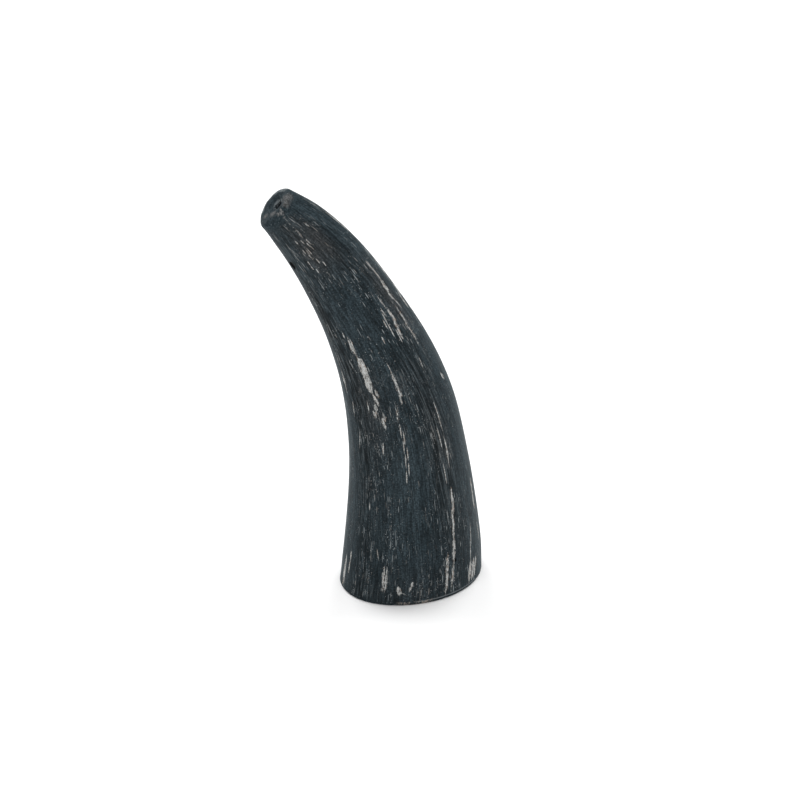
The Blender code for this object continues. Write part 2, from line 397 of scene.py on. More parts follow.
def scattered_strokes():
    """Worn streaks on the side that nothing shows, like the ones on the visible side."""
    rng = np.random.default_rng(UNSEEN_SEED)
    strokes = []
    for _ in range(UNSEEN_STROKES):
        start = rng.uniform(8.0, 205.0)
        angle = rng.uniform(*UNSEEN_SIDE_DEG)
        length = rng.uniform(4.0, 19.0)
        half_width = rng.uniform(0.35, 0.55) + 0.9 * rng.uniform() ** 4
        strokes.append((start + length, angle, start, angle - rng.uniform(-2.0, 2.0), half_width))
    return strokes


CREAM = strands_of(CREAM_PLACES, CREAM_SEED) + scattered_strokes()
TAN = strands_of(TAN_PLACES, TAN_SEED)


def angle_on(stroke, distance_mm):
    """The angle of a stroke's middle line at a distance from the rim."""
    start, start_angle, end, end_angle, _ = stroke
    share = min(max((distance_mm - start) / (end - start), 0.0), 1.0)
    return mix(start_angle, end_angle, share)


def are_close(one, other):
    """Whether two strokes come within CLEAR_MM of each other."""
    low = max(min(one[0], one[2]), min(other[0], other[2]))
    high = min(max(one[0], one[2]), max(other[0], other[2]))
    between = (low + high) / 2.0
    gap_mm = abs(math.radians(angle_on(one, between) - angle_on(other, between)))
    gap_mm *= mean_radius_mm(np.array(between))
    return low - high < CLEAR_MM and gap_mm < one[4] + other[4] + CLEAR_MM


def apart(strokes):
    """The strokes in sets, with none close to another of its set, so that each stays clear."""
    sets = []
    for stroke in strokes:
        free = [group for group in sets if not any(are_close(stroke, other) for other in group)]
        if free:
            free[0].append(stroke)
        else:
            sets.append([stroke])
    return sets


CREAM_SETS = {f"cream_{i}": group for i, group in enumerate(apart(CREAM))}
TAN_SETS = {f"tan_{i}": group for i, group in enumerate(apart(TAN))}
PIT_SETS = {"pits": PIT_STROKES}


def weathering(turn, distance_mm):
    """How far the outside stands proud of its smooth shape, in metres."""
    proud_mm = SKIN_PROUD_MM * smooth_step(1.0, 16.0, distance_mm)
    proud_mm *= 1.0 - smooth_step(TIP_MM - 16.0, TIP_MM - 3.0, distance_mm)
    proud_mm += LONG_UNDULATION(turn, distance_mm) + UNDULATION(turn, distance_mm)
    proud_mm += GROOVES(turn, distance_mm) + FINE_GROOVES(turn, distance_mm)
    proud_mm -= CREAM_DEPTH_MM * smooth_step(-0.2, 0.5, stroke_depth(CREAM, turn, distance_mm))
    proud_mm -= PIT_DEPTH_MM * smooth_step(-0.1, 0.3, stroke_depth(PIT_STROKES, turn, distance_mm))
    return proud_mm * MM


def cut_relief(u, long_way, short_way, turn):
    """How far the two cut ends stand out along the axis: a whittled tip, and rim nicks."""
    near_tip = smooth_step(1.0 - TIP_RELIEF_REACH / AXIS_LENGTH, 1.0, u)
    tip_mm = TIP_CUTS(long_way / MM / TIP_CUT_SPAN_MM, short_way / MM)
    facing = math.radians(WHITTLED_SIDE_DEG)
    towards = (long_way * math.cos(facing) + short_way * math.sin(facing)) / HALF_WIDTH[-1]
    tip_mm += FAR_EDGE_LIFT_MM * smooth_step(0.30, 0.90, -towards)
    tip_mm -= WHITTLED_MM * smooth_step(0.50, 1.05, towards)
    near_rim = 1.0 - smooth_step(0.0, RIM_RELIEF_REACH / AXIS_LENGTH, u)
    rim_mm = RIM_NICK_MM * np.maximum(RIM_NICKS(turn, 0.0 * turn) - RIM_NICK_FROM, 0.0)
    return (tip_mm * near_tip + rim_mm * near_rim) * MM


def bands(turn, distance_mm):
    """Broad tones of the outside: how brown, how dark, and how unscratched each place is, the last
    also carrying a painted sheen.

    A band lies round an angle in degrees and a zone round a distance in millimetres.
    """
    def band(angle, spread):
        return np.exp(-(angle_from(turn, angle) / spread) ** 2)

    def zone(distance, spread):
        return np.exp(-((distance_mm - distance) / spread) ** 2)

    brown = 0.8 * band(-115.0, 16.0) * zone(201.0, 13.0) + 0.9 * band(-54.0, 14.0) * zone(157.0, 22.0)
    brown += 0.5 * band(-146.0, 16.0) * zone(112.0, 26.0) + 0.5 * band(-80.0, 12.0) * zone(88.0, 26.0)
    brown += 1.0 * band(-86.0, 15.0) * zone(202.0, 14.0)
    brown += np.maximum(BROWN_DRIFT(turn, distance_mm), 0.0)
    middle = smooth_step(10.0, 45.0, distance_mm) * (1.0 - smooth_step(125.0, 165.0, distance_mm))
    dark = 0.85 * band(-83.0, 15.0) * middle + 0.75 * band(-164.0, 13.0)
    upper = smooth_step(150.0, 175.0, distance_mm) * (1.0 - smooth_step(204.0, 215.0, distance_mm))
    dark += 0.3 * band(-68.0, 24.0) * upper + np.maximum(DARK_DRIFT(turn, distance_mm), 0.0)
    # fewer scratches, and a painted sheen that makes these bands paler; the band at -112 is a painted
    # reflection down the lower middle of the side facing the camera
    low = smooth_step(8.0, 30.0, distance_mm) * (1.0 - smooth_step(70.0, 110.0, distance_mm))
    calm_and_sheen = band(-112.0, 17.0) * low + 0.7 * band(-52.0, 20.0)
    calm_and_sheen += 0.9 * band(-122.0, 24.0) * zone(168.0, 26.0) + 0.5 * band(-175.0, 20.0)
    calm_and_sheen += 0.7 * band(-88.0, 14.0) * zone(203.0, 12.0)
    return np.stack((brown, dark, calm_and_sheen), axis=-1).clip(0.0, 1.0)


# ---- Building the pieces ------------------------------------------------------------------------
class Profile:
    """Rings in the order in which they run round a piece's wall, and how each one is shaped."""

    def __init__(self):
        self.rows = []

    def add(self, u, long_half, short_half, shift=0.0, weathered=0.0):
        """Rings at u. Weathered is the share of the outside's unevenness that they follow."""
        self.rows += np.stack(np.broadcast_arrays(u, long_half, short_half, shift, weathered),
                              axis=-1).reshape(-1, 5).tolist()

    def add_outside(self, u, inset, weathered=1.0):
        long_half, short_half = half_widths(u)
        self.add(u, long_half - inset, short_half - inset, weathered=weathered)

    def add_hollow(self, u, grow):
        long_half, short_half = hollow_half_widths(u)
        self.add(u, long_half + grow, short_half + grow)

    def grid(self, sides):
        """The rings' points, and each one's turn, distance and place in its section, in mm."""
        u, long_half, short_half, shift, weathered = np.array(self.rows).T[:, :, None]
        turn = np.arange(sides)[None, :] / sides
        u, turn = np.broadcast_arrays(u, turn)
        distance_mm = u * AXIS_LENGTH / MM
        grow = weathering(turn, distance_mm) * weathered
        angle = 2.0 * np.pi * turn
        long_way = (long_half + grow) * np.cos(angle) + shift
        short_way = (short_half + grow) * np.sin(angle)
        lift = cut_relief(u, long_way, short_way, turn)
        section = (long_way / MM, short_way / MM, distance_mm)
        return place(u, long_way, short_way, lift), turn, distance_mm, section


def to_box(points):
    """The points moved to where the CAD model stands."""
    outside = Profile()
    outside.add_outside(np.linspace(0.0, 1.0, SKIN_LEVELS), 0.0, weathered=0.0)
    nominal = outside.grid(SIDES)[0].reshape(-1, 3)
    middle = (nominal.min(axis=0) + nominal.max(axis=0)) / 2.0
    box_middle = (np.array(CAD_BOX[0]) + np.array(CAD_BOX[1])) / 2.0
    move = box_middle - middle
    move[2] = 0.0
    return points + move


def add_piece(name, profile, sides, finish, node):
    """A closed body from a profile's rings, with the coordinates that its material reads."""
    points, turn, distance_mm, section = profile.grid(sides)
    points = to_box(points)
    count = len(points)
    ring, side = np.meshgrid(np.arange(count), np.arange(sides), indexing="ij")
    ring_after, side_after = (ring + 1) % count, (side + 1) % sides
    corners = (ring * sides + side, ring * sides + side_after,
               ring_after * sides + side_after, ring_after * sides + side)
    faces = np.stack(corners, axis=-1).reshape(-1, 4)

    mesh = bpy.data.meshes.new(name)
    mesh.from_pydata(points.reshape(-1, 3).tolist(), [], faces.tolist())
    mesh.validate()
    mesh.shade_smooth()
    mesh.set_sharp_from_angle(angle=math.radians(SHARP_ANGLE_DEG))

    angle = 2.0 * np.pi * turn
    local = mean_radius_mm(distance_mm)
    coordinates = {
        "fibre": (local * np.cos(angle), local * np.sin(angle), distance_mm),
        "low_grain": (LOW_GRAIN_MM * np.cos(angle), LOW_GRAIN_MM * np.sin(angle), distance_mm),
        "high_grain": (HIGH_GRAIN_MM * np.cos(angle), HIGH_GRAIN_MM * np.sin(angle), distance_mm),
        "section": section,
        "bands": tuple(np.moveaxis(bands(turn, distance_mm), -1, 0)),
        "rim": (angle_window(turn, *RIM_LINE_DEG), angle_window(turn, *RIM_SMUDGE_DEG), 0.0 * turn),
    }
    for key, strokes in {**CREAM_SETS, **TAN_SETS, **PIT_SETS}.items():
        offset, half_width = stroke_lines(strokes, turn, distance_mm)
        coordinates[key] = (offset, half_width, 0.0 * offset)
    for key, parts in coordinates.items():
        layer = mesh.attributes.new(key, "FLOAT_VECTOR", "POINT")
        layer.data.foreach_set("vector", np.stack(parts, axis=-1).astype(np.float32).ravel())

    piece = bpy.data.objects.new(name, mesh)
    bpy.context.scene.collection.objects.link(piece)
    mesh.materials.append(finish)
    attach(piece, "root")
    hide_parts(node)
    return piece


HIDDEN_U = np.linspace(RIM_ROUND / AXIS_LENGTH, 1.0 - TIP_ROUND / AXIS_LENGTH, HIDDEN_LEVELS)


def outer_profile():
    """The dark layer: a rounded rim, the long outside, a rounded tip, and back down inside."""
    profile = Profile()
    distance, inset = rounded_edge(RIM_ROUND, OUTER_LAYER, 0.0)
    profile.add_outside(distance / AXIS_LENGTH, inset)
    profile.add_outside(np.linspace(HIDDEN_U[0], HIDDEN_U[-1], SKIN_LEVELS)[1:-1], 0.0)
    distance, inset = rounded_edge(TIP_ROUND, 0.0, OUTER_LAYER)
    profile.add_outside(1.0 - distance / AXIS_LENGTH, inset)
    profile.add_outside(HIDDEN_U[::-1], OUTER_LAYER, weathered=0.0)
    return profile


def middle_profile():
    """The pale layer: up against the dark one, over the cut tip, down the bore, and the wall."""
    profile = Profile()
    under = OUTER_LAYER + HAIRLINE
    profile.add_outside(HIDDEN_U, under, weathered=0.0)
    distance, inset = rounded_edge(TIP_ROUND, under, TIP_ROUND)
    profile.add_outside(1.0 - distance / AXIS_LENGTH, inset)

    face_long, face_short = (half - TIP_ROUND for half in half_widths(np.array(1.0)))
    across_face = np.linspace(0.0, 1.0, FACE_LEVELS + 1)[1:]
    profile.add(1.0, mix(face_long, DISH_RADIUS, across_face),
                mix(face_short, DISH_RADIUS, across_face),
                BORE_RISE * across_face, 1.0 - across_face)

    across_dish = np.linspace(0.0, 1.0, DISH_LEVELS + 1)[1:]
    dish_radius = mix(DISH_RADIUS, BORE_RADIUS, across_dish)
    dish_depth = DISH_DEPTH * across_dish ** DISH_ROUNDNESS
    profile.add(1.0 - dish_depth / AXIS_LENGTH, dish_radius, dish_radius, BORE_RISE)

    bore_top = 1.0 - DISH_DEPTH / AXIS_LENGTH
    pocket_top = HOLLOW_TOP + HAIRLINE / AXIS_LENGTH
    down_bore = np.linspace(0.0, 1.0, BORE_LEVELS + 1)[1:]
    profile.add(mix(bore_top, pocket_top, down_bore), BORE_RADIUS, BORE_RADIUS,
                BORE_RISE * (1.0 - down_bore))

    profile.add_hollow(np.linspace(HOLLOW_TOP, 0.0, HOLLOW_LEVELS), INNER_LAYER + HAIRLINE)
    distance, inset = rounded_edge(RIM_ROUND, RIM_ROUND, under)
    profile.add_outside(distance / AXIS_LENGTH, inset)
    return profile


def lining_profile():
    """The brown layer that lines the natural hollow."""
    levels = np.linspace(0.0, HOLLOW_TOP, LINING_LEVELS)
    profile = Profile()
    profile.add_hollow(levels, INNER_LAYER)
    profile.add_hollow(levels[::-1], 0.0)
    return profile


# ---- Materials ----------------------------------------------------------------------------------
class Shader:
    """A material's nodes, with one short method for each kind that the horn needs."""

    def __init__(self, name, specular):
        self.material = bpy.data.materials.new(name)
        self.material.use_nodes = True
        self.tree = self.material.node_tree
        self.surface = self.tree.nodes["Principled BSDF"]
        self.surface.inputs["Specular IOR Level"].default_value = specular

    def node(self, kind, inputs, **settings):
        """A new node. An input is either another node's output or a value to set."""
        made = self.tree.nodes.new("ShaderNode" + kind)
        for key, value in settings.items():
            setattr(made, key, value)
        for key, value in inputs.items():
            if isinstance(value, bpy.types.NodeSocket):
                self.tree.links.new(value, made.inputs[key])
            else:
                made.inputs[key].default_value = value
        return made

    def attribute(self, name):
        return self.node("Attribute", {}, attribute_name=name).outputs["Vector"]

    def parts(self, vector):
        return self.node("SeparateXYZ", {0: vector}).outputs

    def maths(self, operation, a, b=0.0):
        return self.node("Math", {0: a, 1: b}, operation=operation).outputs[0]

    def stretch(self, vector, across, lengthwise, lean_deg=0.0):
        """Coordinates for a pattern with so many cells to the millimetre across and lengthwise."""
        leaning = self.node("VectorRotate", {"Vector": vector, "Angle": math.radians(lean_deg)},
                            rotation_type="Y_AXIS")
        scaled = self.node("VectorMath", {0: leaning.outputs[0], 1: (across, across, lengthwise)},
                           operation="MULTIPLY")
        return scaled.outputs[0]

    def noise(self, vector, detail=2.0, roughness=0.5):
        inputs = {"Vector": vector, "Scale": 1.0, "Detail": detail, "Roughness": roughness}
        return self.node("TexNoise", inputs).outputs["Fac"]

    def fibres(self, across, lengthwise, detail=2.0, roughness=0.5, lean_deg=0.0):
        """Noise drawn out along the fibres: a coarse-radius pattern below, a fine one above."""
        low, high = (self.noise(self.stretch(self.attribute(name), across, lengthwise, lean_deg),
                                detail, roughness) for name in ("low_grain", "high_grain"))
        distance = self.parts(self.attribute("low_grain"))[2]
        share = self.step(distance, *GRAIN_CHANGE_MM)
        between = self.maths("SUBTRACT", high, low)
        mixed = self.maths("ADD", low, self.maths("MULTIPLY", between, share))
        # where the two overlap they flatten each other, so their contrast is put back there
        half_way = self.maths("MULTIPLY", share, self.maths("SUBTRACT", 1.0, share))
        gain = self.maths("ADD", 1.0, self.maths("MULTIPLY", half_way, 1.6))
        centred = self.maths("MULTIPLY", self.maths("SUBTRACT", mixed, 0.5), gain)
        return self.maths("ADD", centred, 0.5)

    def dashes(self, across, lengthwise, radius, crowd):
        """Separate short lines along the fibres: how solid, how bright and how brown each is."""
        low, high = (self.dash_cells(name, across, lengthwise, radius, crowd)
                     for name in ("low_grain", "high_grain"))
        share = self.step(self.parts(self.attribute("low_grain"))[2], *DASH_CHANGE_MM)
        return [self.maths("ADD", a, self.maths("MULTIPLY", self.maths("SUBTRACT", b, a), share))
                for a, b in zip(low, high)]

    def dash_cells(self, name, across, lengthwise, radius, crowd):
        """One dash round each cell's own point, and two random numbers that it keeps."""
        place_in_cells = self.stretch(self.attribute(name), across, lengthwise)
        cells = self.node("TexVoronoi", {"Vector": place_in_cells, "Scale": 1.0})
        away = self.maths("SUBTRACT", cells.outputs["Distance"], crowd)
        bright, browner, _ = self.parts(cells.outputs["Color"])
        return self.step(away, radius * 0.45, radius, 1.0, 0.0), bright, browner

    def step(self, value, low, high, start=0.0, end=1.0):
        """A smooth step from start to end while the value goes from low to high."""
        inputs = {"Value": value, "From Min": low, "From Max": high, "To Min": start, "To Max": end}
        return self.node("MapRange", inputs, interpolation_type="SMOOTHSTEP").outputs[0]

    def blend(self, share, a, b, mode="MIX"):
        inputs = {0: share, 6: a, 7: b}
        return self.node("Mix", inputs, data_type="RGBA", blend_type=mode).outputs[2]

    def stroke(self, sets):
        """How many millimetres inside the strokes of some sets a place is."""
        depth = FAR_OUTSIDE_MM
        for name in sets:
            offset, half_width, _ = self.parts(self.attribute(name))
            inside = self.maths("SUBTRACT", half_width, self.maths("ABSOLUTE", offset))
            depth = self.maths("MAXIMUM", inside, depth)
        return depth

    def tint(self, colour, shade):
        """The colour with all its parts multiplied by a shade."""
        grey = self.node("CombineXYZ", {0: shade, 1: shade, 2: shade}).outputs[0]
        return self.blend(1.0, colour, grey, mode="MULTIPLY")

    def finish(self, colour, roughness, height, depth):
        bump = self.node("Bump", {"Height": height, "Strength": 1.0, "Distance": depth})
        self.tree.links.new(bump.outputs[0], self.surface.inputs["Normal"])
        self.tree.links.new(colour, self.surface.inputs["Base Color"])
        self.tree.links.new(roughness, self.surface.inputs["Roughness"])
        return self.material


CHARCOAL = (0.0148, 0.0222, 0.0264, 1.0)
SLATE = (0.0232, 0.0332, 0.0388, 1.0)
NEAR_BLACK = (0.0038, 0.0056, 0.0066, 1.0)
UMBER = (0.0400, 0.0405, 0.0412, 1.0)
SCRATCH_GREY = (0.2200, 0.2420, 0.2500, 1.0)
SCRATCH_BROWN = (0.2600, 0.2280, 0.2000, 1.0)
CREAM_HORN = (0.5100, 0.5200, 0.5100, 1.0)
GREY_HORN = (0.2500, 0.2450, 0.2350, 1.0)
TAN_HORN = (0.2700, 0.2480, 0.2300, 1.0)
RUST_HORN = (0.2700, 0.1700, 0.1050, 1.0)
PIT_BLACK = (0.0010, 0.0010, 0.0010, 1.0)
HOLLOW_DARK = (0.0500, 0.0330, 0.0220, 1.0)
HOLLOW_LIGHT = (0.2000, 0.1450, 0.0950, 1.0)
FLOOR_LOW = (0.94, 0.94, 0.94, 1.0)
FLOOR_HIGH = (0.96, 0.96, 0.96, 1.0)
SHEEN_TINT = (0.30, 0.80, 1.0, 1.0)

# How deep the bump of each material is, in metres.
SKIN_BUMP = 0.00012
CUT_BUMP = 0.00015
HOLLOW_BUMP = 0.0005
FLOOR_BUMP = 0.00001

# The dark horn's scratches: dashes, long thin lines and specks, as cells to the millimetre
# across and lengthwise, and a half-width as a share of a cell.
SCRATCHES = ((1.45, 0.14, 0.33), (1.45, 0.045, 0.24), (1.50, 0.90, 0.32))

# Stains on and beside the cut tip: (long way, short way, how far below the tip, radius), in
# millimetres.
TIP_BROWN = ((6.6, -5.8, 0.0, 3.1), (4.0, -7.6, 0.4, 2.0), (-2.8, -3.6, 0.0, 2.0),
             (-5.6, 1.6, 0.0, 1.6))
TIP_PALE = ((-0.8, -8.2, 0.6, 1.2), (-1.7, -9.0, 2.2, 0.9), (-1.9, -7.3, 0.0, 0.9),
            (0.3, -7.5, 0.0, 0.7))
TIP_BORE = (BORE_RISE / MM, 0.0, TIP_MM - 0.5)         # the middle of the drilled bore's end
OVAL_TO_ROUND = (1.0, 1.1, 0.0)        # makes the tip's oval a circle, to measure out from
BEVEL_HIGHLIGHT_FROM = 2.0                 # how far behind the tip's middle the painted highlight on the bevel starts
TIP_UMBER = (0.0960, 0.0955, 0.0950, 1.0)
TIP_GREY = (0.2300, 0.2260, 0.2220, 1.0)


def near_spots(horn, spots, edge):
    """From 0 to 1 near any of the spots, fading out slowly. The edge makes them irregular."""
    section = horn.attribute("section")
    share = 0.0
    for long_way, short_way, below, radius in spots:
        centre = (long_way, short_way, TIP_MM - below)
        away = horn.node("VectorMath", {0: section, 1: centre}, operation="DISTANCE")
        ratio = horn.maths("ADD", horn.maths("DIVIDE", away.outputs["Value"], radius), edge)
        share = horn.maths("MAXIMUM", share, horn.step(ratio, 0.25, 1.35, 1.0, 0.0))
    return share


def painted_bevel_highlight(horn, edge):
    """From 0 to 1 along the rounded edge on the far side of the cut tip, where a highlight is
    painted.
    """
    long_way, short_way, distance = horn.parts(horn.attribute("section"))
    facing = math.radians(WHITTLED_SIDE_DEG)
    towards = horn.maths("ADD", horn.maths("MULTIPLY", long_way, math.cos(facing)),
                         horn.maths("MULTIPLY", short_way, math.sin(facing)))
    out = horn.node("VectorMath", {0: horn.attribute("section"), 1: OVAL_TO_ROUND},
                    operation="MULTIPLY")
    radius = horn.node("VectorMath", {0: out.outputs[0]}, operation="LENGTH").outputs["Value"]
    radius = horn.maths("ADD", radius, edge)
    near_top = horn.step(distance, TIP_MM - 1.8, TIP_MM - 0.8)
    share = horn.maths("MULTIPLY", horn.step(radius, 7.8, 8.8), near_top)
    return horn.maths("MULTIPLY", share, horn.step(towards, -5.0, -BEVEL_HIGHLIGHT_FROM, 1.0, 0.0))


def handled_tip(horn):
    """The handled, whittled tip: mottled dark horn with brown and pale stains, and painted highlights
    on its far edge and round the blow hole.
    """
    section = horn.attribute("section")
    fine = horn.noise(horn.stretch(section, 1.5, 1.5), detail=2.0, roughness=0.6)
    mottle = horn.noise(horn.stretch(section, 0.52, 0.52), detail=4.0, roughness=0.65)
    edge = horn.maths("MULTIPLY", horn.maths("SUBTRACT", mottle, 0.5), 1.7)
    colour = horn.blend(horn.step(mottle, 0.40, 0.60), CHARCOAL, SLATE)
    stained = horn.maths("MULTIPLY", near_spots(horn, TIP_BROWN, edge), 0.72)
    colour = horn.blend(stained, colour, TIP_UMBER)
    colour = horn.tint(colour, horn.step(fine, 0.32, 0.68, 0.62, 1.75))
    colour = horn.blend(horn.step(fine, 0.63, 0.74, 0.0, 0.5), colour, SCRATCH_GREY)
    # a painted highlight along the rounded far edge of the cut tip
    bevel_highlight = horn.maths("MULTIPLY", painted_bevel_highlight(horn, edge), horn.step(fine, 0.36, 0.60, 0.25, 0.85))
    colour = horn.blend(bevel_highlight, colour, SCRATCH_GREY)
    bore_away = horn.node("VectorMath", {0: section, 1: TIP_BORE}, operation="DISTANCE")
    bore_away = bore_away.outputs["Value"]
    # a thin painted highlight round the rim of the blow hole
    ring = horn.maths("MULTIPLY", horn.step(bore_away, 2.1, 2.5),
                      horn.step(bore_away, 2.7, 3.5, 1.0, 0.0))
    ring = horn.maths("MULTIPLY", ring, horn.step(mottle, 0.42, 0.58, 0.0, 0.6))
    colour = horn.blend(ring, colour, SCRATCH_GREY)
    pale = horn.maths("MULTIPLY", near_spots(horn, TIP_PALE, edge),
                      horn.step(fine, 0.38, 0.62, 0.15, 1.0))
    return horn.blend(pale, colour, TIP_GREY)


def dark_horn():
    """The weathered outside: dark fibres, fine scratches, and streaks worn through to cream."""
    horn = Shader("dark_horn_weathered", specular=0.04)
    horn.surface.inputs["Sheen Weight"].default_value = 0.03
    horn.surface.inputs["Sheen Roughness"].default_value = 0.35
    horn.surface.inputs["Sheen Tint"].default_value = SHEEN_TINT
    fibre = horn.attribute("fibre")
    brown, dark, calm_and_sheen = horn.parts(horn.attribute("bands"))
    rim_line, rim_smudge, _ = horn.parts(horn.attribute("rim"))

    # the ground: broad tones along the fibres, browner or darker in bands, with a fine grain
    broad = horn.fibres(0.22, 0.022, detail=3.0)
    threads = horn.fibres(1.7, 0.12, detail=1.0)
    mottle = horn.noise(horn.stretch(fibre, 0.9, 0.5), detail=3.0)
    colour = horn.blend(horn.step(broad, 0.35, 0.65), CHARCOAL, SLATE)
    colour = horn.blend(horn.maths("MULTIPLY", brown, 0.7), colour, UMBER)
    colour = horn.tint(colour, horn.step(threads, 0.34, 0.66, 0.62, 1.36))
    grain = horn.noise(horn.stretch(fibre, 1.5, 1.4), detail=0.0)
    colour = horn.tint(colour, horn.step(grain, 0.32, 0.68, 0.68, 1.32))
    # paler towards the tip; the calm bands are made paler too, as a painted sheen
    paler_and_sheen = horn.maths("ADD", horn.step(horn.parts(fibre)[2], 150.0, 195.0, 1.0, 1.10),
                       horn.maths("MULTIPLY", calm_and_sheen, 0.26))
    colour = horn.tint(colour, paler_and_sheen)
    hatch = horn.fibres(1.6, 0.055, detail=1.0, lean_deg=4.0)
    darkness = horn.maths("MULTIPLY", dark, horn.step(hatch, 0.40, 0.60, 0.95, 0.0))
    colour = horn.blend(darkness, colour, NEAR_BLACK)
    hatched = horn.maths("MULTIPLY", dark, horn.step(hatch, 0.56, 0.66, 0.0, 0.16))
    colour = horn.blend(hatched, colour, SCRATCH_GREY)

    # scratches: thin lines along the fibres, in clusters, fewer where the horn is calm
    clusters = horn.noise(horn.stretch(fibre, 0.20, 0.07), detail=3.0)
    crowd = horn.maths("ADD", horn.step(clusters, 0.35, 0.65, -0.08, 0.05),
                       horn.maths("MULTIPLY", calm_and_sheen, -0.06))
    solid = 0.0
    for across, lengthwise, radius in SCRATCHES:
        widen = horn.maths("MULTIPLY", crowd, 1.6)
        dash, bright, browner = horn.dashes(across, lengthwise, radius, widen)
        strength = horn.maths("MULTIPLY", horn.maths("POWER", bright, 2.8),
                              horn.maths("SUBTRACT", 1.50, horn.maths("MULTIPLY", calm_and_sheen, 0.65)))
        browner = horn.maths("MAXIMUM", horn.maths("MULTIPLY", brown, 0.8),
                             horn.step(browner, 0.60, 0.90, 0.0, 0.6))
        scratch_colour = horn.blend(browner, SCRATCH_GREY, SCRATCH_BROWN)
        colour = horn.blend(horn.maths("MULTIPLY", dash, strength), colour, scratch_colour)
        solid = horn.maths("MAXIMUM", solid, dash)

    # worn streaks: ragged along the fibres, cream inside and tan or rusty at their edges
    ragged = horn.maths("ADD", horn.fibres(2.6, 0.20, detail=3.0, roughness=0.7),
                        horn.noise(horn.stretch(fibre, 1.3, 0.8), detail=4.0, roughness=0.7))
    rag = horn.maths("MULTIPLY", horn.maths("SUBTRACT", ragged, 1.0), 2.4)
    tan_depth = horn.maths("ADD", horn.stroke(TAN_SETS), horn.maths("MULTIPLY", rag, 0.16))
    tan_in = horn.step(tan_depth, -0.03, 0.12)
    cream_depth = horn.maths("ADD", horn.stroke(CREAM_SETS), rag)
    edge_in = horn.step(cream_depth, -0.35, -0.05)
    cream_in = horn.step(cream_depth, -0.05, 0.15)
    flakes = horn.noise(horn.stretch(fibre, 1.9, 1.1), detail=3.0, roughness=0.65)
    dark_threads = horn.fibres(2.4, 0.30, detail=3.0, roughness=0.7)
    cream = horn.blend(horn.step(flakes, 0.38, 0.56), GREY_HORN, CREAM_HORN)
    cream = horn.blend(horn.step(mottle, 0.54, 0.66, 0.0, 0.40), cream, RUST_HORN)
    cream = horn.blend(horn.step(dark_threads, 0.37, 0.50, 0.10, 1.0), CHARCOAL, cream)
    rust = horn.blend(horn.step(mottle, 0.50, 0.64), GREY_HORN, RUST_HORN)
    tan = horn.blend(horn.step(grain, 0.44, 0.58), TAN_HORN, CREAM_HORN)
    colour = horn.blend(horn.maths("MULTIPLY", tan_in, horn.step(threads, 0.34, 0.56, 0.25, 0.95)),
                        colour, tan)
    colour = horn.blend(horn.maths("MULTIPLY", edge_in, 0.40), colour, rust)
    colour = horn.blend(cream_in, colour, cream)
    colour = horn.blend(horn.step(horn.stroke(PIT_SETS), -0.15, 0.05), colour, PIT_BLACK)

    # the rim's bevelled lower edge, dark below a thin light line, with a brown smudge on it
    height_mm = horn.maths("ADD", horn.parts(fibre)[2], horn.maths("MULTIPLY", mottle, 0.5))
    colour = horn.blend(horn.step(height_mm, 1.5, 2.0, 0.85, 0.0), colour, CHARCOAL)
    on_line = horn.maths("MULTIPLY", horn.step(height_mm, 1.6, 1.9),
                         horn.step(height_mm, 2.1, 2.5, 1.0, 0.0))
    on_line = horn.maths("MULTIPLY", horn.maths("MULTIPLY", on_line, rim_line), 0.55)
    colour = horn.blend(on_line, colour, SCRATCH_GREY)
    smudged = horn.maths("MULTIPLY", rim_smudge, horn.step(height_mm, 2.0, 2.8, 0.8, 0.0))
    smudged = horn.maths("MULTIPLY", smudged, horn.step(mottle, 0.4, 0.6))
    colour = horn.blend(smudged, colour, SCRATCH_BROWN)

    distance = horn.parts(fibre)[2]
    tip_edge = horn.maths("ADD", distance, horn.maths("MULTIPLY", mottle, 6.0))
    colour = horn.blend(horn.step(tip_edge, TIP_MM - 3.0, TIP_MM + 1.0), colour, handled_tip(horn))

    worn = horn.maths("MAXIMUM", cream_in, tan_in)
    roughness = horn.maths("ADD", horn.step(threads, 0.3, 0.7, 0.42, 0.56),
                           horn.maths("MULTIPLY", worn, 0.25))
    height = horn.maths("SUBTRACT", horn.maths("MULTIPLY", threads, 0.6),
                        horn.maths("MULTIPLY", horn.maths("MAXIMUM", solid, worn), 0.5))
    return horn.finish(colour, roughness, height, SKIN_BUMP)


def cut_horn():
    """The cut tip, handled and darkened, and the paler wall where the wide end is cut."""
    horn = Shader("pale_horn_cut", specular=0.08)
    fibre = horn.attribute("fibre")
    rings = horn.noise(horn.stretch(fibre, 0.9, 0.9), detail=3.0)
    grain = horn.noise(horn.stretch(fibre, 2.5, 2.5), detail=3.0, roughness=0.6)
    sawn = horn.blend(horn.step(rings, 0.4, 0.62), TAN_HORN, CREAM_HORN)
    sawn = horn.blend(horn.step(grain, 0.5, 0.7, 0.0, 0.6), sawn, UMBER)
    distance = horn.parts(fibre)[2]
    colour = horn.blend(horn.step(distance, 150.0, 200.0), sawn, handled_tip(horn))
    roughness = horn.step(grain, 0.3, 0.7, 0.42, 0.65)
    return horn.finish(colour, roughness, grain, CUT_BUMP)


def hollow_horn():
    """The rough natural hollow, brown with lengthwise ridges."""
    horn = Shader("brown_horn_hollow", specular=0.20)
    fibre = horn.attribute("fibre")
    ridges = horn.noise(horn.stretch(fibre, 0.8, 0.05), detail=4.0, roughness=0.6)
    stain = horn.noise(horn.stretch(fibre, 0.12, 0.08), detail=3.0)
    colour = horn.blend(horn.step(ridges, 0.35, 0.65), HOLLOW_DARK, HOLLOW_LIGHT)
    colour = horn.blend(horn.step(stain, 0.45, 0.65, 0.0, 0.7), colour, HOLLOW_DARK)
    roughness = horn.step(ridges, 0.3, 0.7, 0.65, 0.85)
    return horn.finish(colour, roughness, ridges, HOLLOW_BUMP)


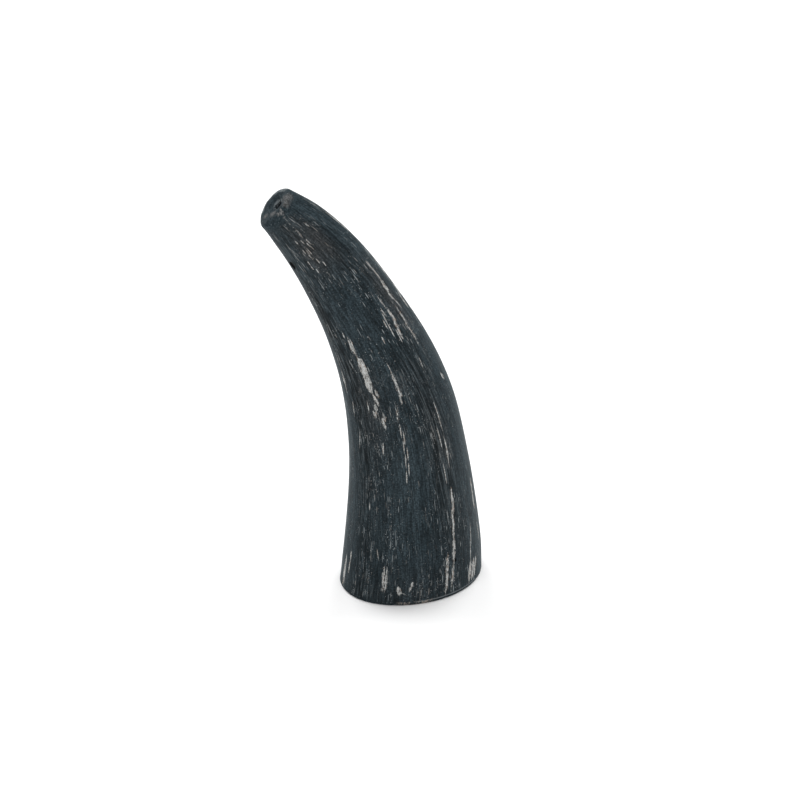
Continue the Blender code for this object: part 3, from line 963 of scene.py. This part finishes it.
# ---- Studio -------------------------------------------------------------------------------------
FLOOR_HALF = 6.0
CAMERA_AZIMUTH = -20.0
CAMERA_ELEVATION = 25.0
CAMERA_DISTANCE = 0.971
CAMERA_LENS = 85.0
AIM_RIGHT = -0.0055          # where the camera points, from the middle of the horn's rim
AIM_UP = 0.0885
SKY_STRENGTH = 0.57
PAPER_GRAIN = 400.0          # cells to the metre
# Soft suns: (name, degrees round from the camera, elevation, width of the light, strength).
SOFT_SUNS = (
    ("front_fill", 0.0, 60.0, 60.0, 0.65),
    ("left_back", 220.0, 45.0, 45.0, 1.68),
    ("right_back", 140.0, 45.0, 45.0, 1.68),
)


def add_floor():
    """A wide plain floor, a little off white, with the faintest paper grain."""
    mesh = bpy.data.meshes.new("floor")
    half = FLOOR_HALF
    corners = [(-half, -half, 0.0), (half, -half, 0.0), (half, half, 0.0), (-half, half, 0.0)]
    mesh.from_pydata(corners, [], [(0, 1, 2, 3)])
    floor = bpy.data.objects.new("floor", mesh)
    bpy.context.scene.collection.objects.link(floor)
    paper = Shader("floor_paper", specular=0.0)
    place_on_floor = paper.node("TexCoord", {}).outputs["Object"]
    grain = paper.noise(paper.stretch(place_on_floor, PAPER_GRAIN, PAPER_GRAIN))
    colour = paper.blend(grain, FLOOR_LOW, FLOOR_HIGH)
    roughness = paper.step(grain, 0.0, 1.0, 0.9, 1.0)
    mesh.materials.append(paper.finish(colour, roughness, grain, FLOOR_BUMP))


def view_directions(azimuth_deg, elevation_deg):
    azimuth, elevation = math.radians(azimuth_deg), math.radians(elevation_deg)
    back = Vector((math.sin(azimuth) * math.cos(elevation),
                   -math.cos(azimuth) * math.cos(elevation), math.sin(elevation)))
    right = Vector((math.cos(azimuth), math.sin(azimuth), 0.0))
    return back, right, back.cross(right)


def add_camera():
    back, right, up = view_directions(CAMERA_AZIMUTH, CAMERA_ELEVATION)
    rim_middle = Vector(to_box(np.zeros(3)))
    data = bpy.data.cameras.new("camera")
    data.lens = CAMERA_LENS
    data.clip_start = 0.01
    data.clip_end = 50.0
    camera = bpy.data.objects.new("camera", data)
    camera.location = rim_middle + right * AIM_RIGHT + up * AIM_UP + back * CAMERA_DISTANCE
    camera.rotation_mode = "QUATERNION"
    camera.rotation_quaternion = (-back).to_track_quat("-Z", "Y")
    bpy.context.scene.collection.objects.link(camera)
    bpy.context.scene.camera = camera


def add_soft_sun(name, azimuth, elevation, angle_deg, energy):
    """Even light from a wide patch of the studio, seen at an azimuth and elevation."""
    back, _, _ = view_directions(azimuth, elevation)
    data = bpy.data.lights.new(name, "SUN")
    data.angle = math.radians(angle_deg)
    data.energy = energy
    light = bpy.data.objects.new(name, data)
    light.rotation_mode = "QUATERNION"
    light.rotation_quaternion = (-back).to_track_quat("-Z", "Y")
    light.visible_glossy = False
    bpy.context.scene.collection.objects.link(light)


def add_studio():
    """White all round; the light itself is softer in front and stronger from behind."""
    world = bpy.data.worlds.new("white_studio")
    world.use_nodes = True
    nodes, links = world.node_tree.nodes, world.node_tree.links
    background = nodes["Background"]
    background.inputs["Color"].default_value = (1.0, 1.0, 1.0, 1.0)
    seen = nodes.new("ShaderNodeLightPath").outputs["Is Camera Ray"]
    strength = nodes.new("ShaderNodeMapRange")
    strength.inputs["To Min"].default_value = SKY_STRENGTH
    links.new(seen, strength.inputs["Value"])
    links.new(strength.outputs[0], background.inputs["Strength"])
    bpy.context.scene.world = world
    bpy.context.scene.view_settings.view_transform = "Standard"
    for name, round_from_camera, elevation, angle_deg, energy in SOFT_SUNS:
        add_soft_sun(name, CAMERA_AZIMUTH + round_from_camera, elevation, angle_deg, energy)
    add_floor()
    add_camera()


def main():
    add_piece("horn_outer", outer_profile(), SIDES, dark_horn(), "outer_horn_layer")
    add_piece("horn_middle", middle_profile(), SIDES, cut_horn(),
              "middle_horn_layer")
    add_piece("horn_lining", lining_profile(), LINING_SIDES, hollow_horn(),
              "inner_horn_layer")
    add_studio()


main()
